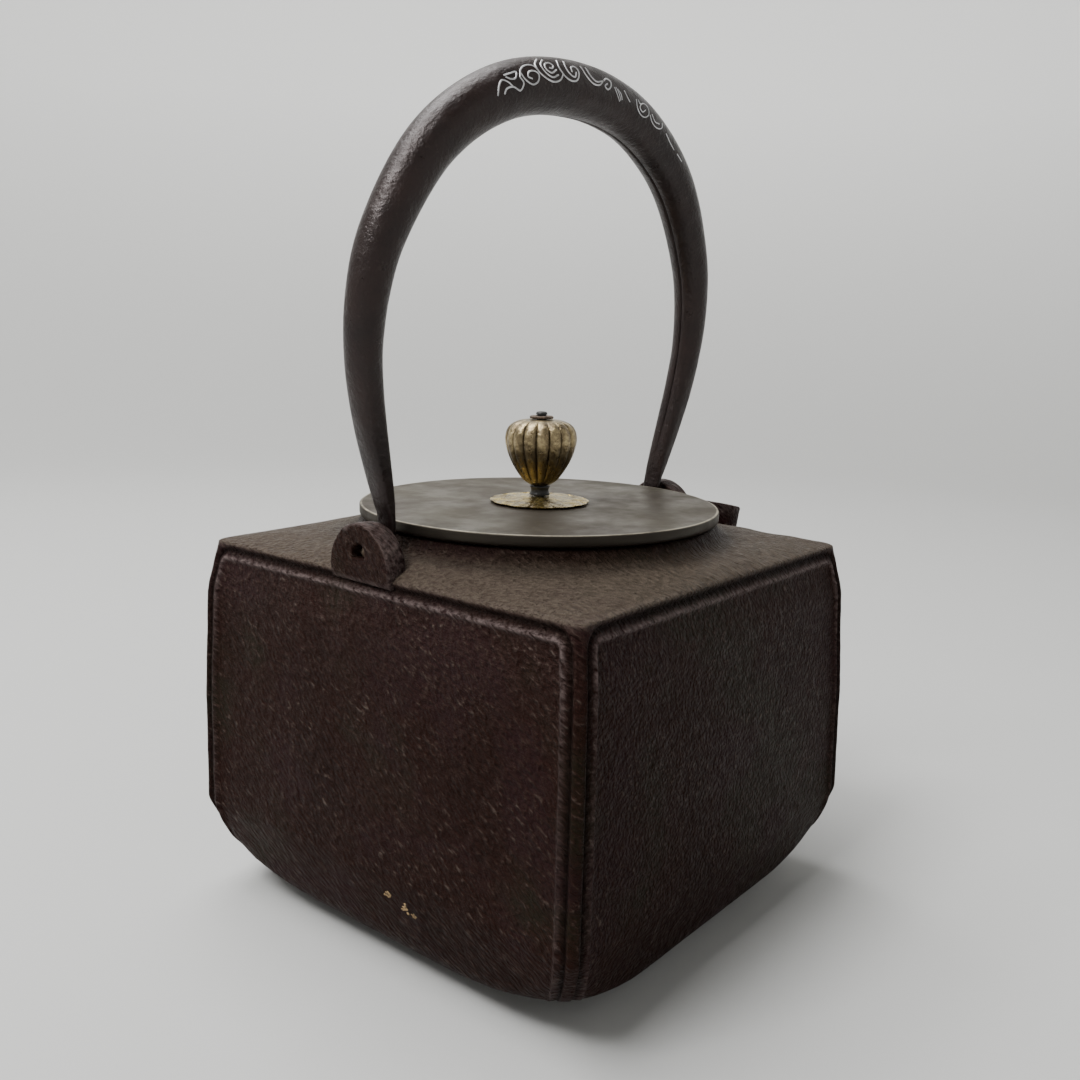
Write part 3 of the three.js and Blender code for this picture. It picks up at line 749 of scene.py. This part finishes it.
def inlay_lines():
    """Lines of the cloud pattern on both flanks, as (along, round) pairs; round is 0 on the crest."""
    flank = [
        # a leaf of cloud with a small pointed loop above it
        stroke((-32.6, 8.6), (-31, 6.9), (-29.4, 6.1), (-28.3, 6.9), (-27.4, 8.4)),
        stroke((-30.6, 9), (-29.4, 8.2), (-27.4, 8.4), (-25.6, 9.7), (-24, 8.5), (-24.4, 7)),
        stroke((-28.2, 5.3), (-26.3, 5.4), (-24.6, 5.6), (-25.8, 6.9), (-27, 6.7), (-28, 5.8)),
        # a hook that curls back inside itself
        stroke((-24.4, 7), (-22.9, 5.3), (-20.7, 4.6), (-19, 5.1), (-18.3, 6.4)),
        stroke((-23.6, 6.1), (-23.2, 7.8), (-21.3, 9.3), (-19.4, 8.9), (-18.6, 7.4), (-19.5, 6.5),
               (-21.1, 6.4), (-22, 7.4), (-21, 8.1)),
        # the large double spiral
        stroke((-16.2, 3.2), (-18.1, 4.9), (-18.2, 6.8), (-16.7, 8.4), (-14.2, 9.4), (-11.9, 9),
               (-10.7, 7.8)),
        stroke((-14.8, 3.6), (-16.6, 5.3), (-16.3, 7.1), (-14.4, 8.4), (-12.3, 7.9)),
        stroke((-12.4, 6.7), (-14.3, 7.4), (-15.6, 6.5), (-15.3, 5.2), (-13.7, 4.7), (-12.9, 5.6),
               (-13.6, 6.3), (-14.4, 6.1)),
        # two nested hooks
        stroke((-10.3, 3.7), (-11.2, 6.1), (-10.2, 8.1), (-8.1, 9.1), (-6.2, 8.9), (-5.1, 7.6), (-4.9, 6.2),
               (-5.7, 5.3), (-7, 5.8), (-7.3, 7)),
        stroke((-8.2, 3.9), (-8.9, 6.3), (-7.9, 7.8), (-6.6, 8.1), (-5.8, 6.9)),
        # two long trailing lines and a small curl
        stroke((-3.2, 4.7), (-2.5, 7.2), (-0.3, 8.8), (2.2, 8.7), (3.7, 7.4)),
        stroke((-1.5, 4.8), (-0.9, 6.9), (0.9, 8.1), (3.4, 7.6)),
        stroke((4.1, 7.2), (5.4, 6.3), (6.8, 6.8), (6.5, 8.2), (5.2, 9.1), (4.3, 8.5), (5.3, 7.7)),
        # a rubbed patch where only scraps are left
        stroke((8, 7.8), (9, 9.2), (10.3, 10.6)), stroke((9.3, 7.9), (10.6, 8.8), (11.2, 10)),
        stroke((8.6, 7.6), (9.8, 8.9), (10.7, 10.3)), stroke((12, 7.3), (13.1, 8.5), (14.4, 9.4)),
        # a spiral and a last hook, then faint ends
        stroke((17, 7.6), (17.6, 9.3), (19.5, 10.4), (21.6, 10.2), (22.8, 8.9), (22.5, 7.5), (21.2, 6.9),
               (19.3, 7.8), (18.8, 9), (20.1, 9.5), (21.3, 8.4)),
        stroke((17.9, 7.3), (18.6, 8), (20.2, 7.2)),
        stroke((23.3, 8.6), (24.8, 9.7), (27.5, 9.8), (29.4, 8.5), (29.4, 7)),
        stroke((24.2, 7.9), (26, 8.9), (28, 8.3)),
        stroke((31.8, 8.4), (34.2, 9), (37.2, 9.2)), stroke((39, 8.9), (42, 8.6)),
    ]
    return flank + [[(along, -around) for along, around in line] for line in flank]


WIRE, RUBBED_WIRE = 0.2, 0.14
RUBBED_FROM = 7  # distance past the crest where the inlay is rubbed thinner


def build_inlay():
    """Thin half-sunk wires that follow the handle's skin."""
    points, faces = [], []
    middle = HANDLE_LENGTH / 2
    turns = np.linspace(0, 2 * math.pi, 6, endpoint=False)
    for line in inlay_lines():
        wire = WIRE if line[0][0] < RUBBED_FROM else RUBBED_WIRE
        path = []
        for along, around in line:
            run = middle + along
            in_plane, across = handle_size(run)
            path.append(handle_point(run, math.pi + around / (0.5 * (in_plane + across)), 0.02))
        path = np.array(path)
        tangents = np.gradient(path, axis=0)
        tangents /= np.linalg.norm(tangents, axis=1, keepdims=True)
        rings = []
        for at, along, (a, _) in zip(path, tangents, line):
            core, _ = handle_at(middle + a)
            out = at - core
            out -= along * out.dot(along)
            out /= np.linalg.norm(out)
            side = np.cross(along, out)
            rings.append([at + wire * (math.cos(q) * side + 0.6 * math.sin(q) * out) for q in turns])
        p, f = loft(rings)
        base = len(points)
        points += [tuple(q) for q in p]
        faces += [tuple(base + i for i in face) for face in f]
    return make_mesh("handle_inlay", seat_handle(points), faces, 60.0)


place(build_inlay(), "handle", "handle_iron", SILVER)


# ---------- pegs ----------

def build_peg(name, side):
    """A hand-cut pin: domed flat head inside, slightly square end showing in the lug."""
    profile = [(0.01, 49.35), (1.5, 49.38), (2.1, 49.6), (2.3, 49.95), (2.25, 50.55), (1.45, 50.65),
               (1.4, 55.0), (1.3, 57.6), (1.15, 58.2), (0.8, 58.45), (0.01, 58.5)]

    def squarish(r, z, angles):
        return r * np.where(z > 54, 1 + 0.05 * np.cos(4 * angles), 1), z

    points, faces = loft(turned_rings(profile, 28, squarish))
    points = points[:, [2, 0, 1]] * [side, 1, 1] + [0, HINGE_Y, HINGE_Z]
    return make_mesh(name, points, faces, 35.0)


place(build_peg("peg_rear", -1), "handle", "peg_brass", PEG_BRASS, "handle_peg_rear")
place(build_peg("peg_spout", 1), "handle", "peg_brass", PEG_BRASS, "handle_peg_spout")


# ---------- lid ----------

PIN_HOLE = 1.5  # radius of the hole that the pin fills in each piece of the lid


def build_lid():
    """A thick disc with painted shade on its edge and a bright rubbed line with a painted highlight round its
    top.
    """
    top = LID_Z + 3.0
    profile = [(PIN_HOLE, LID_Z), (44, LID_Z), (46.6, LID_Z), (47.2, LID_Z + 0.2), (47.45, LID_Z + 0.7),
               (47.48, LID_Z + 1.5), (47.48, top - 0.7), (47.47, top - 0.5), (47.42, top - 0.26),
               (47.2, top - 0.08), (46.9, top - 0.02), (46.7, top - 0.07), (40, top - 0.06), (30, top - 0.04),
               (16, top - 0.02), (PIN_HOLE, top)]
    obj = ring_body("lid_disc", profile, 160, None, 60.0)
    r, z, _ = round_coordinates(obj)
    # A painted highlight line on rubbed bronze round the top of the rim; painted shade below it.
    wear_and_highlight = np.where((r > 46.85) & (z > top - 0.1), 0.9, 0.0)
    painted_shade = np.where(z < top - 0.2, 0.95, 0.0)
    paint(obj.data, {"wear_and_highlight": wear_and_highlight, "painted_shade": painted_shade})
    return obj


place(build_lid(), "lid", "lid_bronze", LID, "lid_plate")

flange_profile = [(39.2, H + 2.3), (41.1, H + 2.3), (41.38, H + 2.7), (41.38, H + 8.1), (39.0, H + 8.1),
                  (39.0, H + 2.6)]
place(ring_body("lid_skirt", flange_profile, 128), "lid", "lid_bronze", LID, "lid_flange")

SEAT_Z = LID_Z + 3.3
PETALS = 12
SCALLOP = 0.018  # how far the rosette's edge waves in and out, as a share of its radius


def build_seat():
    """Thin pressed rosette: scalloped edge, petals rising to the middle across a ring of small bosses."""
    radii = [PIN_HOLE, 3.0, 3.6, 4.3, 5.2, 6.2, 7.4, 8.6, 9.8, 10.9, 11.8, 12.4, 12.8, 13.0]
    heights = [1.45, 1.45, 1.42, 1.3, 1.05, 0.85, 0.7, 0.62, 0.56, 0.5, 0.46, 0.42, 0.4, 0.34]
    shape = list(zip(radii, [SEAT_Z + h for h in heights]))
    shape += [(12.9, SEAT_Z + 0.12), (12.6, SEAT_Z), (6, SEAT_Z), (PIN_HOLE, SEAT_Z)]

    def wave(r, z, a):
        crease = np.abs(np.sin(PETALS / 2 * a)) ** 0.7
        if z[0] <= SEAT_Z + 0.2:
            return r * (1 + SCALLOP * (r[0] > 12) * (2 * crease - 1)), z
        share = np.clip((r - 4.5) / 8, 0, 1)
        bosses = np.exp(-((r - 10.4) / 0.9) ** 2) * np.cos(2 * PETALS * a)
        z = z - 0.36 * share * (1 - crease) * (r < 12.9) + 0.16 * bosses
        return r * (1 + SCALLOP * share ** 4 * (2 * crease - 1)), z

    return ring_body("knob_rosette", shape, 240, wave, 50.0)


place(build_seat(), "lid", "knob_brass", SEAT_BRASS, "knob_seat")

NECK_Z = SEAT_Z + 1.8
neck_profile = [(PIN_HOLE, NECK_Z), (2.75, NECK_Z), (2.8, NECK_Z + 0.25), (2.45, NECK_Z + 0.6),
                (2.35, NECK_Z + 1.2), (2.45, NECK_Z + 1.8), (2.7, NECK_Z + 2.1), (2.65, NECK_Z + 2.3),
                (PIN_HOLE, NECK_Z + 2.3)]
place(ring_body("knob_collar", neck_profile, 48), "lid", "dark_iron", BLACK, "knob_neck")

KNOB_Z = NECK_Z + 2.6
LOBES = 16
# Height above the knob's foot and radius.
KNOB_SHAPE = np.array([
    (0, 2.4), (0.4, 3.2), (1.3, 4.5), (2.6, 5.6), (4.0, 6.56), (6.6, 8.0), (9.3, 9.0), (12.0, 9.5),
    (14.0, 9.25), (15.4, 8.55), (16.3, 7.5), (16.9, 6.1), (17.2, 4.6), (17.3, 3.0),
])


def build_knob():
    """Melon body with rounded lobes between sharp grooves."""
    dense = centripetal(KNOB_SHAPE, 5)

    def flute(r, z, a):
        lobe = np.sqrt(np.abs(np.cos(LOBES / 2 * a)))
        depth = 0.085 * np.clip((r - 2.4) / 4, 0, 1)
        return r * (1 - depth * (1 - lobe)), z

    profile = [(PIN_HOLE, KNOB_Z)] + [(r, KNOB_Z + h) for h, r in dense] + [(PIN_HOLE, KNOB_Z + 17.25)]
    obj = ring_body("knob_melon", profile, 256, flute, 60.0)
    _, z, a = round_coordinates(obj)
    # Painted shade in the grooves between lobes, and a painted shadow and reflection of the lid over the
    # lower half.
    groove = (1 - np.abs(np.cos(LOBES / 2 * a))) ** 2
    low = np.clip((KNOB_Z + 11 - z) / 4, 0, 1)
    paint(obj.data, {"painted_shade": np.clip(0.7 * groove + 0.78 * low, 0, 1)})
    return obj


place(build_knob(), "lid", "knob_brass", KNOB_BRASS, "knob_shell")

WASHER_Z = KNOB_Z + 17.6


def build_washer():
    """A small washer with a scalloped edge."""
    profile = [(PIN_HOLE, WASHER_Z), (2.9, WASHER_Z), (3.05, WASHER_Z + 0.2), (3.0, WASHER_Z + 0.5),
               (2.7, WASHER_Z + 0.68), (PIN_HOLE, WASHER_Z + 0.7)]

    def scallop(r, z, a):
        return (r * (1 + 0.05 * np.abs(np.cos(6 * a))) if r[0] > 2.5 else r), z

    return ring_body("knob_flower_washer", profile, 96, scallop)


place(build_washer(), "lid", "knob_brass", PEG_BRASS, "knob_washer")

post_top = WASHER_Z + 1.0
post_profile = [(0.01, H + 6.25), (1.7, H + 6.3), (1.9, H + 6.5), (1.88, H + 7.0), (1.2, H + 7.05),
                (1.2, post_top), (1.5, post_top + 0.02), (1.52, post_top + 0.35), (1.3, post_top + 0.65),
                (0.8, post_top + 0.8), (0.01, post_top + 0.8)]
place(turned("knob_pin", post_profile, 32), "lid", "dark_iron", BLACK, "knob_post")
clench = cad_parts["clench_washer"]
clench.data.materials.clear()
clench.data.materials.append(BLACK)


# ---------- chips of rust on the foot of the rear side ----------

RUST_SPOTS = [(-8.4, 21.4, 1.3), (-13.8, 19.4, 1.6), (-16.6, 18.6, 0.9)]  # y, z and size of each
CHIPS = 16  # in a spot
SIDES = 7  # of a chip


def build_chips():
    """Small flat flakes scattered round each spot, half sunk in the iron."""
    rng = np.random.default_rng(5)
    points, faces = [], []
    for y, z, size in RUST_SPOTS:
        for _ in range(CHIPS):
            cy, cz = y + rng.normal(0, 0.5 * size), z + rng.normal(0, 0.32 * size)
            s = size * rng.uniform(0.08, 0.24)
            base = len(points)
            x = -float(np.interp(cz, OUTSIDE[:, 0], OUTSIDE[:, 1]))
            for k in range(SIDES):
                a = 2 * math.pi * k / SIDES
                q = s * rng.uniform(0.7, 1.2)
                points.append((x + 0.12, cy + q * math.cos(a) * 1.3, cz + q * math.sin(a)))
            points.append((x - 0.12, cy, cz))
            points.append((x + 0.3, cy, cz))
            for k in range(SIDES):
                m = (k + 1) % SIDES
                faces.append((base + k, base + m, base + SIDES))
                faces.append((base + m, base + k, base + SIDES + 1))
    return make_mesh("rust_chips", spin(points, TWIST), faces, 80.0)


place(build_chips(), "kettle", "cast_iron", RUST)


# ---------- stage, light and camera ----------

FLOOR_RADIUS = 900
FLOOR_Z = -0.05
CURVE = 700  # radius of the bend from floor to wall
WALL_TOP = 2200


def build_stage():
    """A pale floor that curves up into a round pale wall, which glows more high up and towards the back as
    painted light.
    """
    mat, shader = new_material("studio_paper", (0.5, 0.5, 0.49), 0.9, 0.0, Specular_IOR_Level=0.1)
    n = Nodes(mat)
    n.link(n.remap(n.noise(6.0, 3.0), 0.3, 0.7, 0.82, 0.95), shader.inputs["Roughness"])
    shader.inputs["Emission Color"].default_value = (0.95, 0.95, 0.93, 1)
    n.link(n.attribute("glow"), shader.inputs["Emission Strength"])
    segments = 96
    wall = FLOOR_RADIUS + CURVE
    profile = [(1, FLOOR_Z), (FLOOR_RADIUS, FLOOR_Z)]
    for a in np.radians(range(6, 91, 6)):
        profile.append((FLOOR_RADIUS + CURVE * math.sin(a), FLOOR_Z + CURVE * (1 - math.cos(a))))
    profile.append((wall, WALL_TOP))
    points, faces = loft(turned_rings(profile, segments), closed_ends=False)
    faces.append(tuple(range(segments)))
    # Painted light on the wall: it glows more with height and towards the back.
    height = np.clip(points[:, 2] / 500, 0, 1)
    away = 0.5 + 0.5 * (points[:, 0] * 0.745 + points[:, 1] * 0.667) / wall
    backdrop = make_mesh("backdrop", points, faces, 60.0, {"glow": height * (0.05 + 0.62 * away ** 3)})
    backdrop.data.materials.append(mat)


def area_light(name, at, aim, size, power):
    light = bpy.data.lights.new(name, "AREA")
    light.shape = "RECTANGLE"
    light.size, light.size_y = size
    light.energy = power
    obj = bpy.data.objects.new(name, light)
    obj.location = at
    obj.rotation_euler = (Vector(aim) - Vector(at)).to_track_quat("-Z", "Y").to_euler()
    bpy.context.scene.collection.objects.link(obj)


CAMERA_AT = (-0.21764, -0.19545, 0.15373)
CAMERA_TURN = (0.8405, 0.1947, 0.0264)  # yaw, pitch and roll in radians
FOCAL_PIXELS = 1108.965
PICTURE_PIXELS = 1080
SENSOR = 36


def build_camera():
    yaw, pitch, roll = CAMERA_TURN
    forward = Vector((math.sin(yaw) * math.cos(pitch), math.cos(yaw) * math.cos(pitch), -math.sin(pitch)))
    right = forward.cross(Vector((0, 0, 1))).normalized()
    up = right.cross(forward)
    right, up = math.cos(roll) * right + math.sin(roll) * up, -math.sin(roll) * right + math.cos(roll) * up
    data = bpy.data.cameras.new("camera")
    data.sensor_width = SENSOR
    data.lens = SENSOR * FOCAL_PIXELS / PICTURE_PIXELS
    data.clip_start = 0.01
    camera = bpy.data.objects.new("camera", data)
    camera.matrix_world = Matrix((
        (right.x, up.x, -forward.x, CAMERA_AT[0]), (right.y, up.y, -forward.y, CAMERA_AT[1]),
        (right.z, up.z, -forward.z, CAMERA_AT[2]), (0, 0, 0, 1),
    ))
    bpy.context.scene.collection.objects.link(camera)
    bpy.context.scene.camera = camera


build_stage()
area_light("ceiling", (-0.1, 0.45, 1.35), (0, 0, 0.05), (1.2, 0.8), 27)
area_light("left_fill", (-0.8, 0.1, 1.2), (0, 0, 0.15), (0.5, 0.4), 17)
area_light("right_fill", (0.35, -1.2, 0.5), (0, 0, 0.08), (0.6, 0.5), 0.35)
world = bpy.data.worlds.new("studio")
world.use_nodes = True
background = world.node_tree.nodes["Background"]
background.inputs["Color"].default_value = (0.9, 0.9, 0.88, 1)
background.inputs["Strength"].default_value = 0.06
bpy.context.scene.world = world
build_camera()
